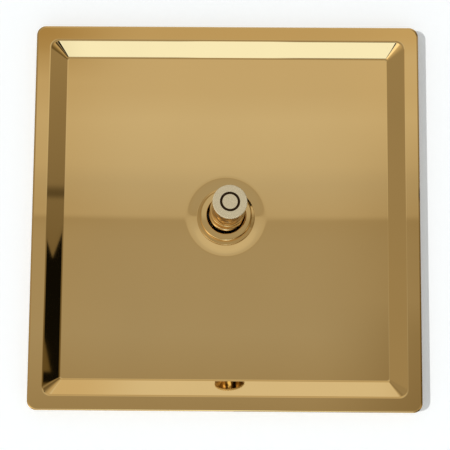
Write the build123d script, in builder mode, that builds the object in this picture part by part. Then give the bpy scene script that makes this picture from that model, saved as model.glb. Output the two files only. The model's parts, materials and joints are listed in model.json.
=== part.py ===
from build123d import *
import math
import os

# A one-gang toggle light switch: a square recessed metal plate, clipped over a steel mounting
# frame, with a two-way toggle switch hung behind it on a threaded bush and a dress collar.
#
# Millimetres. +X is to the right, +Z is up, and the plate faces -Y. The wall's surface is the
# plane Y = 0, and the origin is the middle of the plate on that surface. "Height" is the distance
# out of the wall, towards -Y; a negative height is inside the wall.

# --- face plate ---
PLATE = 86.0
PLATE_CORNER_R = 2.1
RIM_HEIGHT = 4.0
RIM_WIDTH = 3.3
BEVEL_WIDTH = 3.45
RECESS_DEPTH = 2.45
RIM_CORNER_R = 2.0
FLOOR_CORNER_R = 0.5
OUTER_EDGE_R = 0.5
INNER_EDGE_R = 0.8
FLOOR_THICKNESS = 1.2
SKIRT_THICKNESS = 1.6
RIM_THICKNESS = 1.3
DISH_R = 9.4
DISH_ROLL = 2.0
DISH_SLOPE = 3.0
DISH_SEAT_R = 6.5

# --- collar and bush, around the toggle's axis ---
COLLAR_R = 6.4
COLLAR_BODY_R = 5.75
COLLAR_LENGTH = 3.05
COLLAR_LIP = 0.55
COLLAR_EDGE_R = 0.45
FLANGE_EDGE_HEIGHT = 0.5
FLANGE_ROOT_HEIGHT = 0.62
FLANGE_EDGE_R = 0.15
MOUTH_R = 4.22
MOUTH_EDGE_R = 0.12
THREAD_R = 5.0
THREAD_CLEARANCE = 0.05
BUSH_BORE_R = 4.4
BUSH_FLANGE_R = 7.0
BUSH_FLANGE_LENGTH = 1.5
BUSH_CHAMFER = 0.3
PANEL_HOLE_R = 5.15

# --- toggle lever ---
THROW = 13.0
SIDE_LEAN = 4.5
PIVOT_BELOW_MOUTH = 1.5
LEVER_LENGTH = 12.1
SLEEVE_R = 3.65
SLEEVE_LENGTH = 8.1
SLEEVE_CHAMFER = 0.2
BAND_R = 3.9
BAND_LENGTH = 1.6
GROOVE_R = 3.4
BEAD_R = 3.85
BEAD_START = 0.4
BEAD_END = 2.1
BEAD_BACK_EDGE_R = 0.7
NECK_R = 3.1
CONE_START = 1.5
CONE_END = 3.0
TAIL_R = 2.5
TAIL_LENGTH = 10.0
CAP_R = 3.72
CAP_THICKNESS = 0.5
CAP_CHAMFER = 0.12
CAP_RING_R = 1.9
CAP_RING_WIDTH = 0.5
CAP_RING_DEPTH = 0.25
CAP_SPIGOT_R = 1.5
CAP_SPIGOT_LENGTH = 1.8
STEM_SPIGOT_R = 2.3
STEM_SPIGOT_LENGTH = 4.0
PIN_R = 0.75
PIN_SETBACK = 0.1
RUNNING_CLEARANCE = 0.05
PRESS_CLEARANCE = 0.01

# --- plunger and spring ---
PLUNGER_R = 1.5
PLUNGER_NOSE_R = 1.4
PLUNGER_TIP_R = 1.37
PLUNGER_SHANK_START = 7.05
SPRING_R = 1.15
SPRING_WIRE_R = 0.18
SPRING_TURNS = 6
SPRING_BORE_START = 2.3

# --- rocker and contacts, measured from the rocker's fulcrum ---
FULCRUM_Y = 14.2
ROCKER_SEAT = 1.8
ROCKER_HORN = 1.4
ROCKER_HUB_LENGTH = 6.4
ROCKER_WIDTH = 5.0
ROCKER_REACH = 9.3
ROCKER_THICKNESS = 0.9
CONTACT_REACH = 8.0
CONTACT_R = 1.1
CONTACT_HEIGHT = 0.6
CONTACT_CHAMFER = 0.15
FULCRUM_R = 0.6
FULCRUM_WEB = 0.9
FULCRUM_OVERHANG = 1.0
FULCRUM_FOOT_X = 9.0
FULCRUM_FOOT_Z = 5.0

# --- fixing frame and wall box fixings ---
FRAME_THICKNESS = 1.2
FRAME_WIDTH = 50.0
FRAME_HEIGHT = 58.0
FRAME_CORNER_R = 3.0
FIXING_CENTRES = 60.3
FIXING_SLOT_R = 1.9
FIXING_SLOT_LENGTH = 6.0
EAR_REACH = 34.4
EAR_HALF_HEIGHT = 8.0
EAR_SETBACK = 2.3
STUD_X = 19.0
STUD_Z = 23.0
STUD_R = 1.5
STUD_LENGTH = 7.0
STUD_GROOVE_R = 1.15
STUD_HOLE_R = 1.9
STUD_CHAMFER = 0.5
CLIP_SIZE = 9.0
CLIP_CORNER_R = 1.5
CLIP_THICKNESS = 0.4
CLIP_SLIT_WIDTH = 0.8
CLIP_SLIT_LENGTH = 6.0
LINER_SIZE = 70.0
LINER_THICKNESS = 0.3

# --- nut and washer behind the frame ---
WASHER_R = 7.4
WASHER_THICKNESS = 0.5
WASHER_NOTCHES = 16
WASHER_NOTCH_SIZE = 0.9
NUT_ACROSS_FLATS = 14.0
NUT_THICKNESS = 1.7

# --- switch body ---
COVER_Y = 5.0
COVER_THICKNESS = 1.0
BODY_X = 21.0
BODY_Z = 28.0
BODY_WALL = 1.8
BODY_FLOOR_Y = 18.05
BODY_REAR_Y = 20.5
BODY_EDGE_R = 1.0
COVER_CORNER_R = 1.5
EAR_Z = 12.0
EAR_THICKNESS = 0.8
CLINCH_LENGTH = 1.2

# --- terminals ---
TERMINAL_PITCH = 9.5
TERMINAL_X = 6.4
TERMINAL_Z = 7.0
TERMINAL_DEPTH = 7.5
TERMINAL_CORNER_R = 0.6
WIRE_DEPTH = 3.2
WIRE_HOLE_R = 1.7
TERMINAL_SCREW_R = 1.7
SCREW_HEAD_R = 2.4
SCREW_HEAD_LENGTH = 1.4
SCREW_SLOT_WIDTH = 0.7
STRIP_THICKNESS = 0.8
STRIP_Z = 8.8
STRIP_LENGTH = 5.4
LEG_X = 3.0
LEG_Z = 1.6
BARRIER_X = 10.0
BARRIER_THICKNESS = 1.4
BARRIER_DEPTH = 7.0
EARTH_Z = -22.0
EARTH_DEPTH = 7.0
EARTH_WIRE_DEPTH = 2.6

# --- derived sizes ---
FLOOR_HEIGHT = RIM_HEIGHT - RECESS_DEPTH
FLOOR_BACK = FLOOR_HEIGHT - FLOOR_THICKNESS
RIM_INNER = PLATE - 2 * RIM_WIDTH
FLOOR_SIZE = RIM_INNER - 2 * BEVEL_WIDTH
DISH_ROLL_DEPTH = DISH_ROLL * math.tan(math.radians(DISH_SLOPE) / 2)
DISH_FALL = (DISH_R - DISH_ROLL - DISH_SEAT_R) * math.tan(math.radians(DISH_SLOPE))
SEAT_HEIGHT = FLOOR_HEIGHT - DISH_ROLL_DEPTH - DISH_FALL
MOUTH_HEIGHT = SEAT_HEIGHT + COLLAR_LENGTH
PIVOT_Y = PIVOT_BELOW_MOUTH - MOUTH_HEIGHT
REST_TILT = THROW / 2
FULCRUM_DEPTH = FULCRUM_Y - PIVOT_Y
NOSE_REACH = FULCRUM_DEPTH - ROCKER_SEAT - RUNNING_CLEARANCE
BEVEL_ANGLE = math.atan2(RECESS_DEPTH, BEVEL_WIDTH)

os.makedirs("parts", exist_ok=True)


def out_of_wall(height):
    """A plane parallel to the wall, at this height, whose normal points into the room."""
    return Plane.XZ.offset(height)


def into_wall(depth):
    """A plane parallel to the wall, this deep in it, whose normal points into the room."""
    return Plane.XZ.offset(-depth)


def save(part, name):
    """Name a finished piece and write it."""
    part.label = name
    export_step(part, f"parts/{name}.step")


def edges_in_square(part, height, size):
    """A part's edges at this height, within a square of this size about the plate's middle."""
    near = 0.01
    edges = part.edges().filter_by_position(Axis.Y, -height - near, -height + near)
    edges = edges.filter_by_position(Axis.X, -size / 2 - near, size / 2 + near)
    return edges.filter_by_position(Axis.Z, -size / 2 - near, size / 2 + near)


def lever_plane(tilt, lean):
    """A plane at the lever's pivot whose normal points along the lever, out of the wall."""
    tilt_rad = math.radians(tilt)
    lean_rad = math.radians(lean)
    along = Vector(
        math.sin(lean_rad),
        -math.cos(lean_rad) * math.cos(tilt_rad),
        math.cos(lean_rad) * math.sin(tilt_rad),
    )
    return Plane(origin=(0, PIVOT_Y, 0), x_dir=along.cross(Vector(0, 0, 1)), z_dir=along)


# Above the pivot the lever leans to the right by its play; below it the tail stays in the plane
# of the throw.
LEVER = lever_plane(REST_TILT, SIDE_LEAN)
TAIL = lever_plane(REST_TILT, 0)

# The rocker at rest: its lower end is pushed in, so its face turns up by the lever's own angle.
ROCKER_ANGLE = math.radians(REST_TILT)
ROCKER = Plane(
    origin=(0, FULCRUM_Y, 0),
    x_dir=(1, 0, 0),
    z_dir=(0, -math.cos(ROCKER_ANGLE), -math.sin(ROCKER_ANGLE)),
)


# ---------------------------------------------------------------- face plate and its fixings

with BuildPart() as face_plate:
    with BuildSketch(out_of_wall(0)):
        RectangleRounded(PLATE, PLATE, PLATE_CORNER_R)
    extrude(amount=RIM_HEIGHT)
    fillet(face_plate.edges().group_by(Axis.Y)[0], OUTER_EDGE_R)
    # hollow back: a skirt that stands on the wall
    hollow = PLATE - 2 * SKIRT_THICKNESS
    with BuildSketch(out_of_wall(0)):
        RectangleRounded(hollow, hollow, PLATE_CORNER_R - SKIRT_THICKNESS)
    extrude(amount=RIM_HEIGHT - RIM_THICKNESS, mode=Mode.SUBTRACT)
    # back of the floor and of the bevel, one wall thickness behind their faces
    back_shift = FLOOR_THICKNESS * math.tan(BEVEL_ANGLE / 2)
    tub_floor = FLOOR_SIZE + 2 * back_shift
    tub_rise = RIM_HEIGHT - RIM_THICKNESS - FLOOR_BACK
    tub_rim = tub_floor + 2 * tub_rise / math.tan(BEVEL_ANGLE)
    with BuildSketch(out_of_wall(FLOOR_BACK)):
        RectangleRounded(tub_floor, tub_floor, FLOOR_CORNER_R)
    with BuildSketch(out_of_wall(RIM_HEIGHT - RIM_THICKNESS)):
        RectangleRounded(tub_rim, tub_rim, RIM_CORNER_R)
    loft()
    # front recess: rounded at the rim and nearly sharp at the floor
    with BuildSketch(out_of_wall(FLOOR_HEIGHT)):
        RectangleRounded(FLOOR_SIZE, FLOOR_SIZE, FLOOR_CORNER_R)
    with BuildSketch(out_of_wall(RIM_HEIGHT)):
        RectangleRounded(RIM_INNER, RIM_INNER, RIM_CORNER_R)
    loft(mode=Mode.SUBTRACT)
    fillet(edges_in_square(face_plate, RIM_HEIGHT, RIM_INNER), INNER_EDGE_R)
    fillet(edges_in_square(face_plate, FLOOR_HEIGHT, FLOOR_SIZE), INNER_EDGE_R)
    # shallow dish around the collar: it rolls over into a slight slope, down to a flat seat
    with BuildSketch(Plane.XY):
        with BuildLine():
            Line((0, -FLOOR_HEIGHT), (DISH_R, -FLOOR_HEIGHT))
            roll = TangentArc(
                (DISH_R, -FLOOR_HEIGHT),
                (DISH_R - DISH_ROLL, DISH_ROLL_DEPTH - FLOOR_HEIGHT),
                tangent=(-1, 0),
            )
            Polyline(roll @ 1, (DISH_SEAT_R, -SEAT_HEIGHT), (0, -SEAT_HEIGHT), (0, -FLOOR_HEIGHT))
        make_face()
    revolve(axis=Axis.Y, mode=Mode.SUBTRACT)
    with BuildSketch(out_of_wall(0)):
        Circle(PANEL_HOLE_R)
    extrude(amount=RIM_HEIGHT, mode=Mode.SUBTRACT)
save(face_plate.part, "face_plate")

with BuildPart() as plate_studs:
    with BuildSketch(out_of_wall(FLOOR_BACK)):
        with GridLocations(2 * STUD_X, 2 * STUD_Z, 2, 2):
            Circle(STUD_R)
    extrude(amount=-STUD_LENGTH - FLOOR_BACK)
    with BuildSketch(into_wall(FRAME_THICKNESS)):
        with GridLocations(2 * STUD_X, 2 * STUD_Z, 2, 2):
            Circle(STUD_R)
            Circle(STUD_GROOVE_R, mode=Mode.SUBTRACT)
    extrude(amount=-2 * CLIP_THICKNESS, mode=Mode.SUBTRACT)
    tips = plate_studs.edges().group_by(Axis.Y)[-1]
    chamfer(tips, STUD_CHAMFER)
save(plate_studs.part, "plate_studs")

with BuildPart() as insulating_liner:
    with BuildSketch(out_of_wall(FLOOR_BACK)):
        RectangleRounded(LINER_SIZE, LINER_SIZE, FRAME_CORNER_R)
        Circle(PANEL_HOLE_R, mode=Mode.SUBTRACT)
        with GridLocations(2 * STUD_X, 2 * STUD_Z, 2, 2):
            Circle(STUD_HOLE_R, mode=Mode.SUBTRACT)
        with GridLocations(FIXING_CENTRES, 0, 2, 1):
            Circle(EAR_REACH - FIXING_CENTRES / 2, mode=Mode.SUBTRACT)
    extrude(amount=-LINER_THICKNESS)
save(insulating_liner.part, "insulating_liner")

with BuildPart() as mounting_frame:
    with BuildSketch(into_wall(FRAME_THICKNESS)):
        RectangleRounded(FRAME_WIDTH, FRAME_HEIGHT, FRAME_CORNER_R)
    extrude(amount=FRAME_THICKNESS)
    # ears, stepped back so that the fixing screws' heads sit behind the plate
    ear_start = FRAME_WIDTH / 2 - FRAME_THICKNESS
    for side in (-1, 1):
        with BuildSketch(Plane.XY.offset(-EAR_HALF_HEIGHT)):
            with BuildLine():
                Polyline(
                    (side * ear_start, 0),
                    (side * FRAME_WIDTH / 2, 0),
                    (side * FRAME_WIDTH / 2, EAR_SETBACK),
                    (side * EAR_REACH, EAR_SETBACK),
                    (side * EAR_REACH, EAR_SETBACK + FRAME_THICKNESS),
                    (side * ear_start, EAR_SETBACK + FRAME_THICKNESS),
                    close=True,
                )
            make_face()
        extrude(amount=2 * EAR_HALF_HEIGHT)
    with BuildSketch(out_of_wall(0)):
        Circle(PANEL_HOLE_R)
        with GridLocations(2 * STUD_X, 2 * STUD_Z, 2, 2):
            Circle(STUD_HOLE_R)
        with GridLocations(FIXING_CENTRES, 0, 2, 1):
            SlotOverall(FIXING_SLOT_LENGTH, 2 * FIXING_SLOT_R)
    extrude(amount=-EAR_SETBACK - FRAME_THICKNESS, mode=Mode.SUBTRACT)
save(mounting_frame.part, "mounting_frame")

with BuildPart() as stud_clips:
    with BuildSketch(into_wall(FRAME_THICKNESS)):
        with GridLocations(2 * STUD_X, 2 * STUD_Z, 2, 2):
            RectangleRounded(CLIP_SIZE, CLIP_SIZE, CLIP_CORNER_R)
            Circle(STUD_GROOVE_R + RUNNING_CLEARANCE, mode=Mode.SUBTRACT)
            Rectangle(CLIP_SLIT_WIDTH, CLIP_SLIT_LENGTH, mode=Mode.SUBTRACT)
    extrude(amount=-CLIP_THICKNESS)
save(stud_clips.part, "stud_clips")


# ---------------------------------------------------------------- collar, bush, nut and washer

with BuildPart() as collar:
    with BuildSketch(out_of_wall(SEAT_HEIGHT)):
        Circle(COLLAR_BODY_R)
    extrude(amount=COLLAR_LENGTH)
    fillet(collar.edges().group_by(Axis.Y)[0], COLLAR_EDGE_R)
    # thin sloping flange that lies in the dish
    with BuildSketch(Plane.XY):
        with BuildLine():
            Polyline(
                (0, -SEAT_HEIGHT),
                (COLLAR_R, -SEAT_HEIGHT),
                (COLLAR_R, -SEAT_HEIGHT - FLANGE_EDGE_HEIGHT),
                (COLLAR_BODY_R, -SEAT_HEIGHT - FLANGE_ROOT_HEIGHT),
                (0, -SEAT_HEIGHT - FLANGE_ROOT_HEIGHT),
                close=True,
            )
        make_face()
    revolve(axis=Axis.Y)
    flange_edges = collar.edges().filter_by(GeomType.CIRCLE).group_by(SortBy.RADIUS)[-1]
    fillet(flange_edges.sort_by(Axis.Y)[0], FLANGE_EDGE_R)
    # mouth, and the threaded bore behind it
    with BuildSketch(out_of_wall(MOUTH_HEIGHT)):
        Circle(MOUTH_R)
    extrude(amount=-COLLAR_LENGTH, mode=Mode.SUBTRACT)
    fillet(collar.edges().group_by(Axis.Y)[0].sort_by(SortBy.RADIUS)[0], MOUTH_EDGE_R)
    with BuildSketch(out_of_wall(SEAT_HEIGHT)):
        Circle(THREAD_R + THREAD_CLEARANCE)
    extrude(amount=COLLAR_LENGTH - COLLAR_LIP, mode=Mode.SUBTRACT)
save(collar.part, "collar")

BUSH_TOP = MOUTH_HEIGHT - COLLAR_LIP - RUNNING_CLEARANCE

with BuildPart() as bush:
    with BuildSketch(into_wall(COVER_Y + COVER_THICKNESS)):
        Circle(THREAD_R)
    extrude(amount=COVER_Y + COVER_THICKNESS + BUSH_TOP)
    with BuildSketch(into_wall(COVER_Y)):
        Circle(BUSH_FLANGE_R)
    extrude(amount=BUSH_FLANGE_LENGTH)
    chamfer(bush.edges().group_by(Axis.Y)[0], BUSH_CHAMFER)
    with BuildSketch(out_of_wall(BUSH_TOP)):
        Circle(BUSH_BORE_R)
    extrude(amount=-BUSH_TOP - COVER_Y - COVER_THICKNESS, mode=Mode.SUBTRACT)
    with BuildSketch(Plane.YZ.offset(-THREAD_R)):
        with Locations((PIVOT_Y, 0)):
            Circle(PIN_R + PRESS_CLEARANCE)
    extrude(amount=2 * THREAD_R, mode=Mode.SUBTRACT)
save(bush.part, "bush")

with BuildPart() as pivot_pin:
    with BuildSketch(Plane.YZ.offset(PIN_SETBACK - THREAD_R)):
        with Locations((PIVOT_Y, 0)):
            Circle(PIN_R)
    extrude(amount=2 * (THREAD_R - PIN_SETBACK))
save(pivot_pin.part, "pivot_pin")

with BuildPart() as lock_washer:
    with BuildSketch(into_wall(FRAME_THICKNESS)):
        Circle(WASHER_R)
        with PolarLocations(WASHER_R, WASHER_NOTCHES):
            Rectangle(WASHER_NOTCH_SIZE, WASHER_NOTCH_SIZE, mode=Mode.SUBTRACT)
        Circle(THREAD_R + THREAD_CLEARANCE, mode=Mode.SUBTRACT)
    extrude(amount=-WASHER_THICKNESS)
save(lock_washer.part, "lock_washer")

NUT_Y = FRAME_THICKNESS + WASHER_THICKNESS

with BuildPart() as back_nut:
    with BuildSketch(into_wall(NUT_Y)):
        RegularPolygon(NUT_ACROSS_FLATS / 2, 6, major_radius=False)
        Circle(THREAD_R + THREAD_CLEARANCE, mode=Mode.SUBTRACT)
    extrude(amount=-NUT_THICKNESS)
save(back_nut.part, "back_nut")


# ---------------------------------------------------------------- lever, drawn upright then tilted

SLEEVE_START = LEVER_LENGTH - SLEEVE_LENGTH

with BuildPart() as lever_stem:
    # above the pivot: a rounded bead in the collar's mouth, then a groove and the sleeve's spigot
    with BuildSketch(LEVER.offset(BEAD_START)):
        Circle(BEAD_R)
    extrude(amount=BEAD_END - BEAD_START)
    bead_edges = lever_stem.edges().filter_by(GeomType.CIRCLE).sort_by_distance(LEVER.origin)
    fillet(bead_edges[0], BEAD_BACK_EDGE_R)
    bead_edges = lever_stem.edges().filter_by(GeomType.CIRCLE).sort_by_distance(LEVER.origin)
    fillet(bead_edges[-1], BEAD_R - GROOVE_R)
    with BuildSketch(LEVER.offset(-PIN_R)):
        Circle(NECK_R)
    extrude(amount=BEAD_START + PIN_R)
    with BuildSketch(LEVER.offset(BEAD_END)):
        Circle(GROOVE_R)
    extrude(amount=SLEEVE_START - BEAD_END)
    with BuildSketch(LEVER.offset(SLEEVE_START)):
        Circle(STEM_SPIGOT_R)
    extrude(amount=STEM_SPIGOT_LENGTH)
    # below the pivot: neck, cone and the tail that holds the spring
    with BuildSketch(TAIL.offset(-CONE_START)):
        Circle(NECK_R)
    extrude(amount=CONE_START + PIN_R)
    with BuildSketch(TAIL.offset(-CONE_START)):
        Circle(NECK_R)
    with BuildSketch(TAIL.offset(-CONE_END)):
        Circle(TAIL_R)
    loft()
    with BuildSketch(TAIL.offset(-TAIL_LENGTH)):
        Circle(TAIL_R)
    extrude(amount=TAIL_LENGTH - CONE_END)
    with BuildSketch(TAIL.offset(-TAIL_LENGTH)):
        Circle(PLUNGER_R + RUNNING_CLEARANCE)
    extrude(amount=TAIL_LENGTH - SPRING_BORE_START, mode=Mode.SUBTRACT)
    with BuildSketch(Plane.YZ.offset(-THREAD_R)):
        with Locations((PIVOT_Y, 0)):
            Circle(PIN_R + RUNNING_CLEARANCE)
    extrude(amount=2 * THREAD_R, mode=Mode.SUBTRACT)
save(lever_stem.part, "lever_stem")

CAP_START = LEVER_LENGTH - CAP_THICKNESS

with BuildPart() as lever_sleeve:
    # a raised band round the lower end, rounded over onto the sleeve
    with BuildSketch(LEVER.offset(SLEEVE_START)):
        Circle(BAND_R)
    extrude(amount=BAND_LENGTH)
    band_edges = lever_sleeve.edges().filter_by(GeomType.CIRCLE).sort_by_distance(LEVER.origin)
    chamfer(band_edges[0], SLEEVE_CHAMFER)
    band_edges = lever_sleeve.edges().filter_by(GeomType.CIRCLE).sort_by_distance(LEVER.origin)
    fillet(band_edges[-1], BAND_R - SLEEVE_R)
    with BuildSketch(LEVER.offset(SLEEVE_START + BAND_LENGTH)):
        Circle(SLEEVE_R)
    extrude(amount=CAP_START - SLEEVE_START - BAND_LENGTH)
    with BuildSketch(LEVER.offset(SLEEVE_START)):
        Circle(STEM_SPIGOT_R + RUNNING_CLEARANCE)
    extrude(amount=STEM_SPIGOT_LENGTH + RUNNING_CLEARANCE, mode=Mode.SUBTRACT)
    with BuildSketch(LEVER.offset(CAP_START)):
        Circle(CAP_SPIGOT_R + RUNNING_CLEARANCE)
    extrude(amount=-CAP_SPIGOT_LENGTH - RUNNING_CLEARANCE, mode=Mode.SUBTRACT)
save(lever_sleeve.part, "lever_sleeve")

with BuildPart() as lever_cap:
    with BuildSketch(LEVER.offset(CAP_START)):
        Circle(CAP_R)
    extrude(amount=CAP_THICKNESS)
    chamfer(lever_cap.edges().sort_by_distance(LEVER.origin)[-1], CAP_CHAMFER)
    with BuildSketch(LEVER.offset(LEVER_LENGTH)):
        Circle(CAP_RING_R + CAP_RING_WIDTH / 2)
        Circle(CAP_RING_R - CAP_RING_WIDTH / 2, mode=Mode.SUBTRACT)
    extrude(amount=-CAP_RING_DEPTH, mode=Mode.SUBTRACT)
    with BuildSketch(LEVER.offset(CAP_START)):
        Circle(CAP_SPIGOT_R)
    extrude(amount=-CAP_SPIGOT_LENGTH)
save(lever_cap.part, "lever_cap")

SPRING_LENGTH = PLUNGER_SHANK_START - SPRING_BORE_START - 4 * SPRING_WIRE_R

with BuildPart() as plunger_spring:
    spring_end = TAIL.offset(-PLUNGER_SHANK_START + 2 * SPRING_WIRE_R).origin
    with BuildLine():
        coil = Helix(SPRING_LENGTH / SPRING_TURNS, SPRING_LENGTH, SPRING_R, spring_end, TAIL.z_dir)
    with BuildSketch(Plane(origin=coil @ 0, z_dir=coil % 0)):
        Circle(SPRING_WIRE_R)
    sweep(path=coil, is_frenet=True)
save(plunger_spring.part, "plunger_spring")

with BuildPart() as plunger:
    with BuildSketch(TAIL.offset(-PLUNGER_SHANK_START)):
        Circle(PLUNGER_R)
    extrude(amount=-(NOSE_REACH - PLUNGER_NOSE_R - PLUNGER_SHANK_START))
    with BuildSketch(TAIL.offset(-NOSE_REACH + PLUNGER_NOSE_R)):
        Circle(PLUNGER_NOSE_R)
    extrude(amount=-PLUNGER_NOSE_R)
    nose = plunger.edges().filter_by(GeomType.CIRCLE).sort_by_distance(TAIL.origin)[-1]
    fillet(nose, PLUNGER_TIP_R)
save(plunger.part, "plunger")


# ---------------------------------------------------------------- rocker and contacts

# The seat is an arc that keeps the plunger's nose just clear of it through the whole throw.
REST = math.radians(REST_TILT)
NOSE_CENTRE = NOSE_REACH - PLUNGER_NOSE_R
SEAT_RISE = FULCRUM_DEPTH * math.cos(REST) - NOSE_CENTRE * math.cos(2 * REST)
SEAT_RISE -= FULCRUM_DEPTH - NOSE_CENTRE
SEAT_SPAN = NOSE_CENTRE * math.sin(2 * REST) - FULCRUM_DEPTH * math.sin(REST)
SEAT_R = (SEAT_SPAN**2 + SEAT_RISE**2) / (2 * SEAT_RISE) + PLUNGER_NOSE_R + RUNNING_CLEARANCE

with BuildPart() as rocker:
    rocker_side = Plane(origin=ROCKER.origin, x_dir=ROCKER.z_dir, z_dir=(1, 0, 0))
    rocker_side = rocker_side.offset(-ROCKER_WIDTH / 2)
    with BuildSketch(rocker_side):
        with Locations((0, 0)):
            Rectangle(ROCKER_THICKNESS, 2 * ROCKER_REACH)
        with Locations((ROCKER_HORN - ROCKER_THICKNESS / 2, 0)):
            Rectangle(2 * ROCKER_HORN, ROCKER_HUB_LENGTH)
        with Locations((ROCKER_SEAT + SEAT_R, 0)):
            Circle(SEAT_R, mode=Mode.SUBTRACT)
        Circle(FULCRUM_R + RUNNING_CLEARANCE, mode=Mode.SUBTRACT)
        with Locations((-ROCKER_THICKNESS, 0)):
            Rectangle(2 * ROCKER_THICKNESS, 2 * (FULCRUM_R + RUNNING_CLEARANCE), mode=Mode.SUBTRACT)
    extrude(amount=ROCKER_WIDTH)
save(rocker.part, "rocker")

with BuildPart() as rocker_contacts:
    with BuildSketch(ROCKER.offset(-ROCKER_THICKNESS / 2)):
        with GridLocations(0, 2 * CONTACT_REACH, 1, 2):
            Circle(CONTACT_R)
    extrude(amount=-CONTACT_HEIGHT)
    contact_faces = rocker_contacts.edges().filter_by(GeomType.CIRCLE)
    chamfer(contact_faces.group_by(Axis(ROCKER.origin, ROCKER.z_dir))[0], CONTACT_CHAMFER)
save(rocker_contacts.part, "rocker_contacts")


# ---------------------------------------------------------------- switch body, cover and contacts

# Where the pressed-in contact of the rocker meets its fixed partner.
CONTACT_DEPTH = ROCKER_THICKNESS / 2 + CONTACT_HEIGHT
TIP_Y = (
    FULCRUM_Y
    + CONTACT_DEPTH * math.cos(ROCKER_ANGLE)
    + (CONTACT_REACH + CONTACT_R) * math.sin(ROCKER_ANGLE)
    + RUNNING_CLEARANCE
)
STRIP_Y = BODY_FLOOR_Y - STRIP_THICKNESS

with BuildPart() as switch_cover:
    with BuildSketch(into_wall(COVER_Y + COVER_THICKNESS)):
        RectangleRounded(BODY_X + 2 * EAR_THICKNESS, BODY_Z, COVER_CORNER_R)
    extrude(amount=COVER_THICKNESS)
    # ears folded back along the body's sides and clinched under its rear edge
    for side in (-1, 1):
        with BuildSketch(Plane.XY.offset(-EAR_Z / 2)):
            with BuildLine():
                Polyline(
                    (side * BODY_X / 2, COVER_Y + COVER_THICKNESS / 2),
                    (side * (BODY_X / 2 + EAR_THICKNESS), COVER_Y + COVER_THICKNESS / 2),
                    (side * (BODY_X / 2 + EAR_THICKNESS), BODY_REAR_Y + EAR_THICKNESS),
                    (side * (BODY_X / 2 - CLINCH_LENGTH), BODY_REAR_Y + EAR_THICKNESS),
                    (side * (BODY_X / 2 - CLINCH_LENGTH), BODY_REAR_Y),
                    (side * BODY_X / 2, BODY_REAR_Y),
                    close=True,
                )
            make_face()
        extrude(amount=EAR_Z)
    with BuildSketch(into_wall(COVER_Y)):
        Circle(THREAD_R + THREAD_CLEARANCE)
    extrude(amount=-COVER_THICKNESS, mode=Mode.SUBTRACT)
save(switch_cover.part, "switch_cover")

BODY_TOP_Y = COVER_Y + COVER_THICKNESS
TERMINAL_Z_PLACES = [(0, place * TERMINAL_PITCH) for place in (-1, 0, 1)]

with BuildPart() as switch_body:
    with BuildSketch(into_wall(BODY_REAR_Y)):
        RectangleRounded(BODY_X, BODY_Z, BODY_EDGE_R)
    extrude(amount=BODY_REAR_Y - BODY_TOP_Y)
    with BuildSketch(into_wall(BODY_FLOOR_Y)):
        RectangleRounded(BODY_X - 2 * BODY_WALL, BODY_Z - 2 * BODY_WALL, BODY_EDGE_R / 2)
    extrude(amount=BODY_FLOOR_Y - BODY_TOP_Y, mode=Mode.SUBTRACT)
    # barriers between the terminals
    with BuildSketch(into_wall(BODY_REAR_Y)):
        with GridLocations(0, TERMINAL_PITCH, 1, 2):
            Rectangle(BARRIER_X, BARRIER_THICKNESS)
    extrude(amount=-BARRIER_DEPTH)
    with BuildSketch(into_wall(BODY_FLOOR_Y)):
        with Locations(*TERMINAL_Z_PLACES):
            Rectangle(LEG_X + 2 * RUNNING_CLEARANCE, LEG_Z + 2 * RUNNING_CLEARANCE)
    extrude(amount=BODY_FLOOR_Y - BODY_REAR_Y, mode=Mode.SUBTRACT)
save(switch_body.part, "switch_body")

with BuildPart() as fulcrum:
    with BuildSketch(Plane.YZ.offset(-ROCKER_WIDTH / 2 - FULCRUM_OVERHANG)):
        with Locations((FULCRUM_Y, 0)):
            Circle(FULCRUM_R)
        with Locations(((FULCRUM_Y + STRIP_Y) / 2, 0)):
            Rectangle(STRIP_Y - FULCRUM_Y, FULCRUM_WEB)
    extrude(amount=ROCKER_WIDTH + 2 * FULCRUM_OVERHANG)
    with BuildSketch(into_wall(BODY_FLOOR_Y)):
        Rectangle(FULCRUM_FOOT_X, FULCRUM_FOOT_Z)
    extrude(amount=STRIP_THICKNESS)
    with BuildSketch(into_wall(BODY_REAR_Y)):
        Rectangle(LEG_X, LEG_Z)
    extrude(amount=BODY_REAR_Y - BODY_FLOOR_Y)
save(fulcrum.part, "fulcrum")

for name, end in (("upper_contact_strip", 1), ("lower_contact_strip", -1)):
    with BuildPart() as contact_strip:
        with BuildSketch(into_wall(BODY_FLOOR_Y)):
            with Locations((0, end * STRIP_Z)):
                Rectangle(ROCKER_WIDTH, STRIP_LENGTH)
        extrude(amount=STRIP_THICKNESS)
        with BuildSketch(into_wall(BODY_REAR_Y)):
            with Locations((0, end * TERMINAL_PITCH)):
                Rectangle(LEG_X, LEG_Z)
        extrude(amount=BODY_REAR_Y - BODY_FLOOR_Y)
    save(contact_strip.part, name)

with BuildPart() as fixed_contacts:
    with BuildSketch(into_wall(STRIP_Y)):
        with GridLocations(0, 2 * CONTACT_REACH, 1, 2):
            Circle(CONTACT_R + CONTACT_CHAMFER)
    extrude(amount=STRIP_Y - TIP_Y)
    chamfer(fixed_contacts.edges().group_by(Axis.Y)[0], CONTACT_CHAMFER)
save(fixed_contacts.part, "fixed_contacts")


# ---------------------------------------------------------------- terminals

WIRE_Y = BODY_REAR_Y + WIRE_DEPTH
TERMINAL_END_Y = BODY_REAR_Y + TERMINAL_DEPTH


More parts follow.
